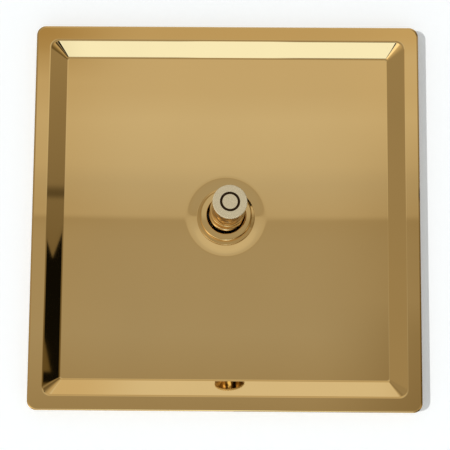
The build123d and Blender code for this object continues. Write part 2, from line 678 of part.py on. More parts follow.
def screw(plane, places, shank_length):
    """Slotted cheese-head screws with their heads on the plane, pointing against its normal."""
    with BuildPart() as screws:
        with BuildSketch(plane):
            with Locations(*places):
                Circle(SCREW_HEAD_R)
        extrude(amount=SCREW_HEAD_LENGTH)
        with BuildSketch(plane.offset(SCREW_HEAD_LENGTH)):
            with Locations(*places):
                Rectangle(2 * SCREW_HEAD_R, SCREW_SLOT_WIDTH)
        extrude(amount=-SCREW_HEAD_LENGTH / 2, mode=Mode.SUBTRACT)
        with BuildSketch(plane):
            with Locations(*places):
                Circle(TERMINAL_SCREW_R)
        extrude(amount=-shank_length)
    return screws.part


with BuildPart() as terminal_blocks:
    with BuildSketch(into_wall(TERMINAL_END_Y)):
        with Locations(*TERMINAL_Z_PLACES):
            RectangleRounded(TERMINAL_X, TERMINAL_Z, TERMINAL_CORNER_R)
    extrude(amount=TERMINAL_DEPTH)
    with BuildSketch(Plane.YZ.offset(-TERMINAL_X / 2)):
        with Locations(*[(WIRE_Y, z) for _, z in TERMINAL_Z_PLACES]):
            Circle(WIRE_HOLE_R)
    extrude(amount=TERMINAL_X, mode=Mode.SUBTRACT)
    with BuildSketch(into_wall(TERMINAL_END_Y)):
        with Locations(*TERMINAL_Z_PLACES):
            Circle(TERMINAL_SCREW_R + RUNNING_CLEARANCE)
    extrude(amount=TERMINAL_END_Y - WIRE_Y, mode=Mode.SUBTRACT)
save(terminal_blocks.part, "terminal_blocks")

screw_shank = TERMINAL_END_Y - WIRE_Y - WIRE_HOLE_R
rear_plane = Plane(origin=(0, TERMINAL_END_Y, 0), x_dir=(1, 0, 0), z_dir=(0, 1, 0))
save(screw(rear_plane, TERMINAL_Z_PLACES, screw_shank), "terminal_screws")

EARTH_BACK_Y = FRAME_THICKNESS + EARTH_DEPTH
EARTH_WIRE_Y = FRAME_THICKNESS + EARTH_WIRE_DEPTH

with BuildPart() as earth_terminal:
    with BuildSketch(into_wall(EARTH_BACK_Y)):
        with Locations((0, EARTH_Z)):
            RectangleRounded(TERMINAL_Z, TERMINAL_X, TERMINAL_CORNER_R)
    extrude(amount=EARTH_DEPTH)
    with BuildSketch(Plane.YZ.offset(-TERMINAL_Z / 2)):
        with Locations((EARTH_WIRE_Y, EARTH_Z)):
            Circle(WIRE_HOLE_R)
    extrude(amount=TERMINAL_Z, mode=Mode.SUBTRACT)
    with BuildSketch(into_wall(EARTH_BACK_Y)):
        with Locations((0, EARTH_Z)):
            Circle(TERMINAL_SCREW_R + RUNNING_CLEARANCE)
    extrude(amount=EARTH_BACK_Y - EARTH_WIRE_Y, mode=Mode.SUBTRACT)
save(earth_terminal.part, "earth_terminal")

earth_plane = Plane(origin=(0, EARTH_BACK_Y, 0), x_dir=(1, 0, 0), z_dir=(0, 1, 0))
earth_shank = EARTH_BACK_Y - EARTH_WIRE_Y - WIRE_HOLE_R
save(screw(earth_plane, [(0, -EARTH_Z)], earth_shank), "earth_screw")
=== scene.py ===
import json
import math

import bpy
from mathutils import Matrix, Vector

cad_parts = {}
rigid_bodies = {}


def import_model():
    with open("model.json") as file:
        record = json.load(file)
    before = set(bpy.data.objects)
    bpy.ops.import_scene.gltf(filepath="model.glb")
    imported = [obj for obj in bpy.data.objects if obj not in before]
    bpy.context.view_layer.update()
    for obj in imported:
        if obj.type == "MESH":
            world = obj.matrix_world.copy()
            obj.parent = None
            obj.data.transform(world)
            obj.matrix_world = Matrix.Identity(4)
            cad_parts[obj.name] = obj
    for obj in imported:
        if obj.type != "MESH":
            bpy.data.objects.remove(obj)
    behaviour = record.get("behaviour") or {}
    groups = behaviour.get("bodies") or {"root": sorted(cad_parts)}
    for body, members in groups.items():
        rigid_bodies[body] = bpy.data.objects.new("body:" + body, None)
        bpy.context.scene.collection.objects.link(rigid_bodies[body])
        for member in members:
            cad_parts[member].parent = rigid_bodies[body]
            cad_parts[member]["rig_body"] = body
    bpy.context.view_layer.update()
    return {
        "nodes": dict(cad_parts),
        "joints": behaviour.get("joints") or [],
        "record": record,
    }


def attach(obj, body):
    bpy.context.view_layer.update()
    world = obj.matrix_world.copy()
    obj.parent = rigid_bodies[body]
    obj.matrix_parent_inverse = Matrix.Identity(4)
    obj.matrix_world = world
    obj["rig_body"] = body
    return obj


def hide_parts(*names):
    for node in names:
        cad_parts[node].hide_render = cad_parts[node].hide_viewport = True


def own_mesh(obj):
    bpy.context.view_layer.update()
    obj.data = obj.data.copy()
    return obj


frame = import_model()

MM = 0.001
nodes = frame["nodes"]
REST_TILT = math.radians(6.5)
SIDE_LEAN = math.radians(4.5)
LEVER_AXIS = Vector((
    math.sin(SIDE_LEAN),
    -math.cos(SIDE_LEAN) * math.cos(REST_TILT),
    math.cos(SIDE_LEAN) * math.sin(REST_TILT),
))
TAIL_AXIS = Vector((0, -math.cos(REST_TILT), math.sin(REST_TILT)))
JOINTS = {joint["name"]: joint for joint in frame["joints"]}
LEVER_PIVOT = Vector(JOINTS["toggle"]["pos_m"])

# ------------------------------------------------------------------ camera

CAMERA_PLACE = Vector((2.1, -288.0, -41.2)) * MM
CAMERA_PITCH = 7.82
CAMERA_YAW = -0.46
CAMERA_ROLL = 0.45
SENSOR_WIDTH = 36.0
LENS = 103.8
CLIP_START = 0.01


def add_camera():
    """A long lens a little below the switch, looking slightly up at it."""
    pitch, yaw, roll = (math.radians(a) for a in (CAMERA_PITCH, CAMERA_YAW, CAMERA_ROLL))
    forward = Vector((math.sin(yaw) * math.cos(pitch), math.cos(yaw) * math.cos(pitch), math.sin(pitch)))
    level_right = Vector((math.cos(yaw), -math.sin(yaw), 0))
    level_up = level_right.cross(forward)
    right = math.cos(roll) * level_right + math.sin(roll) * level_up
    up = math.cos(roll) * level_up - math.sin(roll) * level_right
    turn = Matrix((right, up, -forward)).transposed().to_4x4()
    data = bpy.data.cameras.new("camera")
    data.sensor_width = SENSOR_WIDTH
    data.lens = LENS
    data.clip_start = CLIP_START
    camera = bpy.data.objects.new("camera", data)
    camera.matrix_world = Matrix.Translation(CAMERA_PLACE) @ turn
    bpy.context.scene.collection.objects.link(camera)
    bpy.context.scene.camera = camera


# ------------------------------------------------------------------ node helpers


class Graph:
    """Short ways to add and join the nodes of one node tree."""

    def __init__(self, tree):
        self.tree = tree
        self.tree.nodes.clear()

    def add(self, kind, **settings):
        node = self.tree.nodes.new(kind)
        for name, value in settings.items():
            setattr(node, name, value)
        return node

    def link(self, source, target):
        self.tree.links.new(source, target)

    def feed(self, socket, value):
        """Join an output to a socket, or set the socket to a plain value."""
        if isinstance(value, bpy.types.NodeSocket):
            self.link(value, socket)
        else:
            socket.default_value = value

    def math(self, operation, *values):
        node = self.add("ShaderNodeMath", operation=operation)
        for socket, value in zip(node.inputs, values):
            self.feed(socket, value)
        return node.outputs[0]

    def vector_math(self, operation, *values):
        """The outputs of a vector operation, called Vector and Value."""
        node = self.add("ShaderNodeVectorMath", operation=operation)
        for socket, value in zip(node.inputs, values):
            self.feed(socket, value)
        return node.outputs

    def times(self, one, other):
        """The product of two colours."""
        node = self.add("ShaderNodeMix", data_type="RGBA", blend_type="MULTIPLY")
        node.inputs[0].default_value = 1.0
        self.link(one, node.inputs[6])
        self.link(other, node.inputs[7])
        return node.outputs[2]

    def ramp(self, factor, stops):
        """A colour ramp over stops of (position, colour)."""
        node = self.add("ShaderNodeValToRGB")
        elements = node.color_ramp.elements
        while len(elements) < len(stops):
            elements.new(1.0)
        for element, (position, colour) in zip(elements, stops):
            element.position = position
            element.color = (*colour, 1.0)
        self.link(factor, node.inputs["Fac"])
        return node.outputs["Color"]

    def mix(self, factor, first, second):
        """The first colour where the factor is 0 and the second where it is 1."""
        node = self.add("ShaderNodeMix", data_type="RGBA")
        self.feed(node.inputs["Factor"], factor)
        for socket, colour in ((node.inputs[6], first), (node.inputs[7], second)):
            self.feed(socket, colour if isinstance(colour, bpy.types.NodeSocket) else (*colour, 1.0))
        return node.outputs[2]

    def step(self, value, edge, softness):
        """0 below the edge and 1 above it, over this much softness."""
        node = self.add("ShaderNodeMapRange", interpolation_type="SMOOTHSTEP")
        self.feed(node.inputs["Value"], value)
        self.feed(node.inputs["From Min"], edge - softness / 2)
        self.feed(node.inputs["From Max"], edge + softness / 2)
        return node.outputs["Result"]

    def bump(self, height, strength, depth):
        """A surface normal with relief from this height, up to this depth in mm."""
        node = self.add("ShaderNodeBump")
        node.inputs["Strength"].default_value = strength
        node.inputs["Distance"].default_value = depth * MM
        self.link(height, node.inputs["Height"])
        return node.outputs[0]


# ------------------------------------------------------------------ studio light

WALL_WHITE = 0.97
SKY_FILL = 0.32

# What the polished metal sees. Each stop is (elevation in degrees, brightness, warmth): warmth 0
# is neutral, above 0 is yellow, below 0 is blue. The stops in these tables are not free choices:
# they are rounded from the brightness that a helper program read off the photo's polished metal, by
# the direction that it mirrors, and then tuned. Things such as walls, a table or a stand are only
# names for the bands.
AHEAD = [
    (-90, 1.06, -0.29),
    (-45, 1.06, -0.29),
    (-39, 0.46, 0.06),
    (0, 0.35, 0.06),
    (17, 0.55, 0.08),
    (24, 0.57, 0.03),
    (56, 0.52, 0.08),
    (70, 0.75, -0.05),
    (90, 0.80, -0.05),
]
ON_THE_RIGHT = [
    (-90, 1.0, 0.0),
    (-58, 0.30, 0.10),
    (-46, 0.01, 0.10),
    (-32, 0.01, 0.10),
    (-26, 0.60, 0.10),
    (-10, 0.25, 0.15),
    (0, 0.16, 0.18),
    (16, 0.28, 0.11),
    (24, 0.15, 0.14),
    (34, 0.19, 0.12),
    (62, 0.74, 0.07),
    (69, 0.58, 0.10),
    (90, 0.80, 0.0),
]
ON_THE_LEFT = [
    (-90, 1.0, 0.0),
    (-54, 0.25, 0.08),
    (-49, 0.08, 0.10),
    (-42, 1.25, 0.0),
    (-33, 1.25, 0.0),
    (-24, 0.62, 0.07),
    (0, 0.38, 0.07),
    (13, 0.34, 0.07),
    (40, 0.34, 0.06),
    (52, 0.28, 0.08),
    (68, 0.66, 0.05),
    (90, 0.80, -0.05),
]

# The wall ahead about eye level, where the flat of the plate shows it, in finer steps: even below,
# a sharp edge at 8 degrees, a cool bright band and a warm one above it. The sides are that, shaded.
EYE_LEVEL = (-2, 18)
EYE_LEVEL_SHOWN = (-0.5, 16.6)
EYE_LEVEL_BLUR = 0.6
MIDDLE = [
    (-1, 0.35, 0.06),
    (1, 0.39, 0.03),
    (3, 0.42, -0.01),
    (7, 0.42, 0.01),
    (8.0, 0.41, 0.03),
    (8.2, 0.52, 0.0),
    (9.6, 0.55, -0.03),
    (10.4, 0.61, -0.03),
    (12.4, 0.65, -0.03),
    (13.6, 0.62, 0.0),
    (15.1, 0.62, 0.01),
    (16, 0.57, 0.08),
]
LEFT_SHADE = [
    (0, 1.0, 0.01),
    (7.6, 1.0, 0.03),
    (8.6, 0.92, 0.05),
    (14, 0.94, 0.04),
    (15.4, 0.76, 0.11),
]
RIGHT_SHADE = [
    (0, 0.72, 0.06),
    (3, 0.72, 0.09),
    (4.5, 0.85, 0.06),
    (10, 0.85, 0.05),
    (13, 1.0, 0.03),
    (16, 1.07, 0.0),
]

# The wall on the right, which the left bevel shows, with a tall black stand in front of it.
SIDE_WALL = [
    (1, 0.13, 0.20),
    (3, 0.15, 0.18),
    (8.8, 0.22, 0.11),
    (9.0, 0.11, 0.13),
    (9.2, 0.11, 0.13),
    (9.5, 0.24, 0.10),
    (15, 0.32, 0.09),
]
BLACK = (0.005, 0.005, 0.004)
STAND_AZIMUTH = 62.7
STAND_SIDES = (59, 66)
STAND_SIDES_BLUR = 3
STAND_TOP = 6.25
STAND_TOP_RISE = 2.9
STAND_TOP_BLUR = 0.2
STAND_FOOT = 2.6
STAND_FOOT_AZIMUTH = 62.45
STAND_FOOT_SLANT = 4.5
STAND_FOOT_BLUR = 0.25
STAND_BASE = (0.8, 1.3)
STAND_BASE_BLUR = 0.15

# Where one part of the light gives way to the next: (degrees from straight ahead, softness).
RIGHT_SHADE_FROM = (6, 6)
LEFT_SHADE_FROM = (6.5, 5)
RIGHT_SIDE_FROM = (24, 12)
LEFT_SIDE_FROM = (16, 10)

# Dark patches, as (azimuths, elevations). The first makes the dark crescent that the photo's collar
# has at its upper right, and the others make the dark streaks in the upper corners of its plate.
DARK_PATCHES = [
    ((11, 21), (16.5, 26)),
    ((-15, -3), (-50.5, -45)),
    ((3, 21), (-50.5, -41)),
]
DARK_BLUR = 2


def light(level, warmth):
    """A brightness and a warmth as a colour: blue falls three times as fast as green."""
    return (level, level * (1 - warmth), level * (1 - 3 * warmth))


def light_world():
    """A white background, even fill for matt surfaces, and a studio for the polished metal."""
    world = bpy.data.worlds.new("studio")
    bpy.context.scene.world = world
    world.use_nodes = True
    g = Graph(world.node_tree)
    xyz = g.add("ShaderNodeSeparateXYZ")
    g.link(g.add("ShaderNodeTexCoord").outputs["Generated"], xyz.inputs[0])
    x, y, z = xyz.outputs
    elevation = g.math("MULTIPLY", g.math("ARCSINE", z), 180 / math.pi)
    azimuth = g.math("MULTIPLY", g.math("ARCTAN2", x, g.math("MULTIPLY", y, -1.0)), 180 / math.pi)
    leftward = g.math("MULTIPLY", azimuth, -1.0)

    def sweep(stops, low=-90, high=90):
        """Light by elevation, between these two elevations."""
        place = g.add("ShaderNodeMapRange")
        g.link(elevation, place.inputs["Value"])
        place.inputs["From Min"].default_value = low
        place.inputs["From Max"].default_value = high
        placed = [((e - low) / (high - low), light(level, warmth)) for e, level, warmth in stops]
        return g.ramp(place.outputs["Result"], placed)

    def band(value, low, high, blur):
        """1 between two values, with soft ends."""
        below_high = g.step(g.math("SUBTRACT", high, value), 0, blur)
        return g.math("MULTIPLY", g.step(value, low, blur), below_high)

    at_eye_level = band(elevation, *EYE_LEVEL_SHOWN, EYE_LEVEL_BLUR)
    middle = sweep(MIDDLE, *EYE_LEVEL)
    right_shaded = g.times(middle, sweep(RIGHT_SHADE, *EYE_LEVEL))
    near = g.mix(g.step(azimuth, *RIGHT_SHADE_FROM), middle, right_shaded)
    left_shaded = g.times(middle, sweep(LEFT_SHADE, *EYE_LEVEL))
    near = g.mix(g.step(leftward, *LEFT_SHADE_FROM), near, left_shaded)
    ahead = g.mix(at_eye_level, sweep(AHEAD), near)

    # the stand has a peaked top and a slanting foot, over a separate base
    aside = g.math("ABSOLUTE", g.math("SUBTRACT", azimuth, STAND_AZIMUTH))
    top = g.math("MULTIPLY_ADD", aside, STAND_TOP_RISE, STAND_TOP)
    past_foot = g.math("SUBTRACT", azimuth, STAND_FOOT_AZIMUTH)
    foot = g.math("MULTIPLY_ADD", past_foot, -STAND_FOOT_SLANT, STAND_FOOT)
    over_foot = g.step(g.math("SUBTRACT", elevation, foot), 0, STAND_FOOT_BLUR)
    under_top = g.step(g.math("SUBTRACT", top, elevation), 0, STAND_TOP_BLUR)
    stand = g.math("MULTIPLY", over_foot, under_top)
    stand = g.math("MAXIMUM", stand, band(elevation, *STAND_BASE, STAND_BASE_BLUR))
    stand = g.math("MULTIPLY", stand, band(azimuth, *STAND_SIDES, STAND_SIDES_BLUR))
    side_wall = g.mix(stand, sweep(SIDE_WALL, *EYE_LEVEL), BLACK)
    on_the_right = g.mix(at_eye_level, sweep(ON_THE_RIGHT), side_wall)

    studio = g.mix(g.step(azimuth, *RIGHT_SIDE_FROM), ahead, on_the_right)
    studio = g.mix(g.step(leftward, *LEFT_SIDE_FROM), studio, sweep(ON_THE_LEFT))
    for azimuths, elevations in DARK_PATCHES:
        dark_across = band(azimuth, *azimuths, DARK_BLUR)
        dark = g.math("MULTIPLY", dark_across, band(elevation, *elevations, DARK_BLUR))
        studio = g.mix(dark, studio, BLACK)

    path = g.add("ShaderNodeLightPath")
    lit = g.mix(path.outputs["Is Diffuse Ray"], studio, (SKY_FILL,) * 3)
    lit = g.mix(path.outputs["Is Camera Ray"], lit, (WALL_WHITE,) * 3)
    shader = g.add("ShaderNodeBackground")
    g.link(lit, shader.inputs["Color"])
    g.link(shader.outputs[0], g.add("ShaderNodeOutputWorld").inputs["Surface"])


SUN_FROM = Vector((-0.60, -1.0, -0.12))
SUN_STRENGTH = 1.67
SUN_WIDTH = 1.5


def add_sun():
    """A key light from the left that throws the plate's narrow shadow on the wall."""
    data = bpy.data.lights.new("key", "SUN")
    data.energy = SUN_STRENGTH
    data.angle = math.radians(SUN_WIDTH)
    sun = bpy.data.objects.new("key", data)
    sun.rotation_mode = "QUATERNION"
    sun.rotation_quaternion = SUN_FROM.to_track_quat("Z", "Y")
    sun.visible_glossy = False
    bpy.context.scene.collection.objects.link(sun)


# ------------------------------------------------------------------ materials


# The noise values between which a ramp over noise changes.
GRAIN_LOW = 0.3
GRAIN_HIGH = 0.7


def new_material(name):
    """A material, a graph to add its nodes with, and its shader's inputs."""
    material = bpy.data.materials.new(name)
    material.use_nodes = True
    g = Graph(material.node_tree)
    shader = g.add("ShaderNodeBsdfPrincipled")
    g.link(shader.outputs[0], g.add("ShaderNodeOutputMaterial").inputs["Surface"])
    return material, g, shader.inputs


def place_on_object(g):
    """The place on the surface, in the object's own metres."""
    return g.add("ShaderNodeTexCoord").outputs["Object"]


def noise(g, scale, detail=2.0):
    node = g.add("ShaderNodeTexNoise")
    node.inputs["Scale"].default_value = scale
    node.inputs["Detail"].default_value = detail
    g.link(place_on_object(g), node.inputs["Vector"])
    return node.outputs["Fac"]


def drift(g, grain, low, high):
    """A colour that runs from low to high with the grain."""
    return g.ramp(grain, [(GRAIN_LOW, low), (GRAIN_HIGH, high)])


METAL_GRAIN_DEPTH = 0.02
ROUGHNESS_NOISE = 2.7


def metal(name, colour, shade, rough, rough_shade, scale, bump=0.0):
    """A metal whose colour and roughness drift with noise, with an optional fine grain."""
    material, g, sockets = new_material(name)
    grain = noise(g, scale)
    darker = tuple(c * (1 - shade) for c in colour)
    g.link(drift(g, grain, darker, colour), sockets["Base Color"])
    roughness = drift(g, noise(g, scale * ROUGHNESS_NOISE), (rough,) * 3, (rough + rough_shade,) * 3)
    g.link(roughness, sockets["Roughness"])
    sockets["Metallic"].default_value = 1.0
    if bump:
        g.link(g.bump(grain, bump, METAL_GRAIN_DEPTH), sockets["Normal"])
    return material


PLASTIC_GRAIN_DEPTH = 0.03
PLASTIC_LIFT = 0.004
PLASTIC_ROUGH_SHADE = 0.12


def plastic(name, colour, shade, rough, scale, bump=0.2):
    """A moulded plastic with a fine matt grain."""
    material, g, sockets = new_material(name)
    grain = noise(g, scale, detail=6.0)
    lighter = tuple(min(1.0, c * (1 + shade) + PLASTIC_LIFT) for c in colour)
    g.link(drift(g, grain, colour, lighter), sockets["Base Color"])
    rougher = (rough + PLASTIC_ROUGH_SHADE,) * 3
    g.link(drift(g, grain, (rough,) * 3, rougher), sockets["Roughness"])
    g.link(g.bump(grain, bump, PLASTIC_GRAIN_DEPTH), sockets["Normal"])
    return material


GOLD = (0.90, 0.60, 0.235)

# Painted reflection on the sleeve: brown patches where the noise is above the first of these, over this
# much softness.
PAINTED_REFLECTION_PATCHES = (0.46, 0.22)
PAINTED_REFLECTION_NOISE = 850
PAINTED_REFLECTION_START = 6.2
PAINTED_REFLECTION_START_SOFTNESS = 0.8
PAINTED_REFLECTION_BROWN = (0.27, 0.145, 0.04)
SLEEVE_ROUGH = (0.02,) * 3
PAINTED_REFLECTION_ROUGH = (0.08,) * 3


def sleeve_with_painted_reflections(centre, axis):
    """The lever's sleeve: polished, with darker brown patches of painted reflection of the dark gap
    between its band and its end.
    """
    material, g, sockets = new_material("sleeve_with_painted_reflections")
    from_centre = g.vector_math("SUBTRACT", place_on_object(g), centre)["Vector"]
    along = g.vector_math("DOT_PRODUCT", from_centre, axis)["Value"]
    above_band = g.step(along, PAINTED_REFLECTION_START * MM, PAINTED_REFLECTION_START_SOFTNESS * MM)
    in_patch = g.step(noise(g, PAINTED_REFLECTION_NOISE, detail=1.0), *PAINTED_REFLECTION_PATCHES)
    patches = g.math("MULTIPLY", in_patch, above_band)
    # the brown patches are painted reflection on the polished gold, not a toning of the metal
    g.link(g.mix(patches, GOLD, PAINTED_REFLECTION_BROWN), sockets["Base Color"])
    g.link(g.ramp(patches, [(0.0, SLEEVE_ROUGH), (1.0, PAINTED_REFLECTION_ROUGH)]), sockets["Roughness"])
    sockets["Metallic"].default_value = 1.0
    return material


CAP_RING_R = 1.9
CAP_RING_WIDTH = 0.5
RING_MARGIN = 0.02
RING_SOFTNESS = 0.06
RING_BROWN = (0.035, 0.016, 0.004)
SATIN_DARK = (0.72, 0.61, 0.40)
SATIN_PALE = (0.80, 0.68, 0.45)
SATIN_NOISE = 5000
SATIN_ROUGH = ((0.50,) * 3, (0.62,) * 3)


def satin_end(centre, axis):
    """The pale satin end of the lever, with the groove round its middle filled in dark brown."""
    material, g, sockets = new_material("satin_end")
    from_centre = g.vector_math("SUBTRACT", place_on_object(g), centre)["Vector"]
    across = g.vector_math("CROSS_PRODUCT", from_centre, axis)["Vector"]
    radius = g.vector_math("LENGTH", across)["Value"]
    off_ring = g.math("ABSOLUTE", g.math("SUBTRACT", radius, CAP_RING_R * MM))
    half_width = (CAP_RING_WIDTH / 2 + RING_MARGIN) * MM
    in_ring = g.step(g.math("SUBTRACT", half_width, off_ring), 0, RING_SOFTNESS * MM)
    grain = noise(g, SATIN_NOISE, detail=4.0)
    pale = drift(g, grain, SATIN_DARK, SATIN_PALE)
    g.link(g.mix(in_ring, pale, RING_BROWN), sockets["Base Color"])
    g.link(drift(g, grain, *SATIN_ROUGH), sockets["Roughness"])
    sockets["Metallic"].default_value = 0.3
    sockets["Specular IOR Level"].default_value = 0.15
    g.link(g.bump(grain, 0.25, METAL_GRAIN_DEPTH), sockets["Normal"])
    return material


# The material of each slot in the record.
FINISHES = {
    "polished_brass": metal("polished_brass", GOLD, 0.02, 0.015, 0.01, 60),
    "satin_end": satin_end(LEVER_PIVOT, LEVER_AXIS),
    "turned_brass": metal("turned_brass", (0.80, 0.57, 0.26), 0.12, 0.22, 0.15, 500, bump=0.15),
    "zinc_steel": metal("zinc_steel", (0.62, 0.63, 0.62), 0.14, 0.28, 0.16, 260, bump=0.12),
    # Near-black matt finish for the bush: painted shade, which stands in for the shade deep in its bore
    # round the lever.
    "black_steel": plastic("black_steel", (0.010, 0.009, 0.008), 0.3, 0.60, 900, bump=0.1),
    "spring_steel": metal("spring_steel", (0.40, 0.40, 0.41), 0.15, 0.20, 0.12, 600),
    "screw_steel": metal("screw_steel", (0.70, 0.69, 0.66), 0.1, 0.22, 0.14, 500, bump=0.1),
    "silver_contact": metal("silver_contact", (0.86, 0.86, 0.84), 0.06, 0.18, 0.1, 800),
    "black_moulding": plastic("black_moulding", (0.018, 0.018, 0.020), 0.4, 0.38, 2500),
    "white_nylon": plastic("white_nylon", (0.78, 0.76, 0.70), 0.04, 0.35, 1500, bump=0.1),
    "liner_film": plastic("liner_film", (0.50, 0.51, 0.50), 0.06, 0.30, 900, bump=0.1),
}

# The sleeve's own material, with its painted reflection patches, on its slot's place.
PIECE_FINISHES = {"lever_sleeve": sleeve_with_painted_reflections(LEVER_PIVOT, LEVER_AXIS)}
SLOTS = {entry["node"]: entry["material_slot"] for entry in frame["record"]["subparts"]}


def finish_cad_nodes():
    """Every CAD node gets its own material if it has one, or else that of its slot in the record."""
    for node, slot in SLOTS.items():
        materials = nodes[node].data.materials
        materials.clear()
        materials.append(PIECE_FINISHES.get(node, FINISHES[slot]))


def mesh_object(name, places, faces, material, smooth=True):
    """A new object in the scene, from its points and faces."""
    mesh = bpy.data.meshes.new(name)
    mesh.from_pydata(places, [], faces)
    mesh.polygons.foreach_set("use_smooth", [smooth] * len(faces))
    mesh.materials.append(material)
    obj = bpy.data.objects.new(name, mesh)
    bpy.context.scene.collection.objects.link(obj)
    return obj


# ------------------------------------------------------------------ turned and pressed pieces

# A section is a closed run of strips. Each end of a strip is (half width, corner radius, height)
# and carries the section's direction there, so that every face gets its true surface normal. A
# corner radius equal to the half width makes a circle, and both at zero make a point.
SQUARE_CORNER_STEPS = 16
CIRCLE_CORNER_STEPS = 48
BEND_STEPS = 8
SHORTEST_STRIP = 1e-4


def bend_points(start, corner, end):
    """Points and directions along a smooth bend that turns at the corner."""
    a, c, b = start, corner, end
    points = []
    for i in range(BEND_STEPS + 1):
        t = i / BEND_STEPS
        place = (1 - t) ** 2 * a + 2 * t * (1 - t) * c + t**2 * b
        points.append((place, ((1 - t) * (c - a) + t * (b - c)).normalized()))
    return points


def section_strips(corners, closed=True):
    """The strips of a section through these corners. A fourth number is the reach of a corner's bend."""
    places = [Vector(c[:3]) for c in corners]
    bends = [c[3] if len(c) > 3 else 0 for c in corners]
    count = len(places)

    def reach(i, j):
        """The point where corner i's bend meets the run to corner j."""
        run = places[j] - places[i]
        return places[i] + run * (bends[i] / math.hypot(run[0], run[2]))

    strips = []
    for i in range(count if closed else count - 1):
        j = (i + 1) % count
        start, end = reach(i, j), reach(j, i)
        if (end - start).length > SHORTEST_STRIP:
            way = (end - start).normalized()
            strips.append((start, way, end, way))
        if bends[j]:
            points = bend_points(end, places[j], reach(j, (j + 1) % count))
            strips += [(*p, *q) for p, q in zip(points, points[1:])]
    return strips


def ring(half, corner):
    """Points round a rounded square or a circle: (x, z, outward x, outward z, reach of the corner)."""
    if half <= 0:
        return [(0.0, 0.0, 0.0, 0.0, 1.0)]
    circle = corner >= half
    steps = CIRCLE_CORNER_STEPS if circle else SQUARE_CORNER_STEPS
    points = []
    for quarter in range(4):
        for i in range(steps if circle else steps + 1):
            angle = i / steps * math.pi / 2
            out = (math.cos(angle), math.sin(angle))
            x, z = ((half - corner) + corner * o for o in out)
            for _ in range(quarter):
                (x, z), out = (-z, x), (-out[1], out[0])
            points.append((x, z, *out, math.cos(angle) + math.sin(angle)))
    return points


class Solid:
    """A mesh built from a section, with the section's own normals."""

    def __init__(self):
        self.places = []
        self.rings = {}
        self.faces = []

    def ring_of(self, end):
        """The vertices of one ring, shared by the strips that meet there."""
        half, corner, height = end
        key = tuple(round(v, 5) for v in end)
        if key not in self.rings:
            points = ring(half, corner)
            first = len(self.places)
            self.places += [Vector((p[0], -height, p[1])) for p in points]
            self.rings[key] = (range(first, first + len(points)), points)
        return self.rings[key]

    def normal(self, point, way):
        """The surface normal where a section runs this way through a ring's point."""
        x_out, z_out, reach = point[2:]
        spread = (way[0] - way[1]) * reach + way[1]
        return Vector((x_out * way[2], spread, z_out * way[2])).normalized()

    def face(self, corners):
        """Add a face of (vertex, normal) corners, turned to agree with its normals."""
        a, b, c = (self.places[v] for v, _ in corners[:3])
        facing = (b - a).cross(c - a)
        if facing.dot(sum((n for _, n in corners), Vector())) < 0:
            corners = corners[::-1]
        self.faces.append(corners)

    def strip(self, start, start_way, end, end_way):
        """The faces between two rings of one strip."""
        near, near_points = self.ring_of(start)
        far, far_points = self.ring_of(end)
        if len(near) != len(far) and 1 not in (len(near), len(far)):
            self.flat_web(near, near_points, far, far_points, start_way)
            return
        count = max(len(near), len(far))
        for i in range(count):
            k = (i + 1) % count
            near_side = self.side(near, near_points, start_way, (i, k))
            far_side = self.side(far, far_points, end_way, (k, i))
            self.face(near_side + far_side)

    def side(self, verts, points, way, steps):
        """The corners of a face on one ring, which are one corner where the ring is a point."""
        if len(verts) == 1:
            return [(verts[0], Vector((0, way[0], 0)).normalized())]
        return [(verts[i], self.normal(points[i], way)) for i in steps]

    def flat_web(self, near, near_points, far, far_points, way):
        """Flat triangles between two rings of different counts."""
        flat = Vector((0, way[0], 0)).normalized()
        sides = []
        for verts, points in ((near, near_points), (far, far_points)):
            turned = sorted((math.atan2(p[1], p[0]) % (2 * math.pi), v) for p, v in zip(points, verts))
            sides.append([v for _, v in turned] + [turned[0][1]])
        one, two = sides
        i = j = 0
        while i < len(one) - 1 or j < len(two) - 1:
            advance_one = j == len(two) - 1
            if i < len(one) - 1 and not advance_one:
                over_one = (self.places[one[i + 1]] - self.places[two[j]]).length
                over_two = (self.places[one[i]] - self.places[two[j + 1]]).length
                advance_one = over_one < over_two
            if advance_one:
                triangle = (one[i], one[i + 1], two[j])
                i += 1
            else:
                triangle = (one[i], two[j + 1], two[j])
                j += 1
            self.face([(v, flat) for v in triangle])

    def finish(self, name, material, origin=None, axis=None):
        """The finished object, turned onto an axis if one is given."""
        turn = Matrix.Identity(3)
        if axis is not None:
            turn = Vector((0, -1, 0)).rotation_difference(axis).to_matrix()
        shift = origin or Vector()
        places = [turn @ (p * MM) + shift for p in self.places]
        obj = mesh_object(name, places, [[v for v, _ in face] for face in self.faces], material)
        obj.data.normals_split_custom_set([turn @ n for face in self.faces for _, n in face])
        return obj


def stand_for(piece, node):
    """The piece takes the place of a CAD node, on the node's own body, and the node is hidden."""
    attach(piece, nodes[node]["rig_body"])
    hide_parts(node)


def make_piece(name, node, corners, closed=True, origin=None, axis=None):
    """Build a piece from its section to stand for a CAD node."""
    made = Solid()
    for strip in section_strips(corners, closed):
        made.strip(*strip)
    material = PIECE_FINISHES.get(node, FINISHES[SLOTS[node]])
    stand_for(made.finish(name, material, origin, axis), node)


def of_circles(corners):
    """A section of circles, from (radius, height) or (radius, height, bend)."""
    return [(c[0], *c) for c in corners]


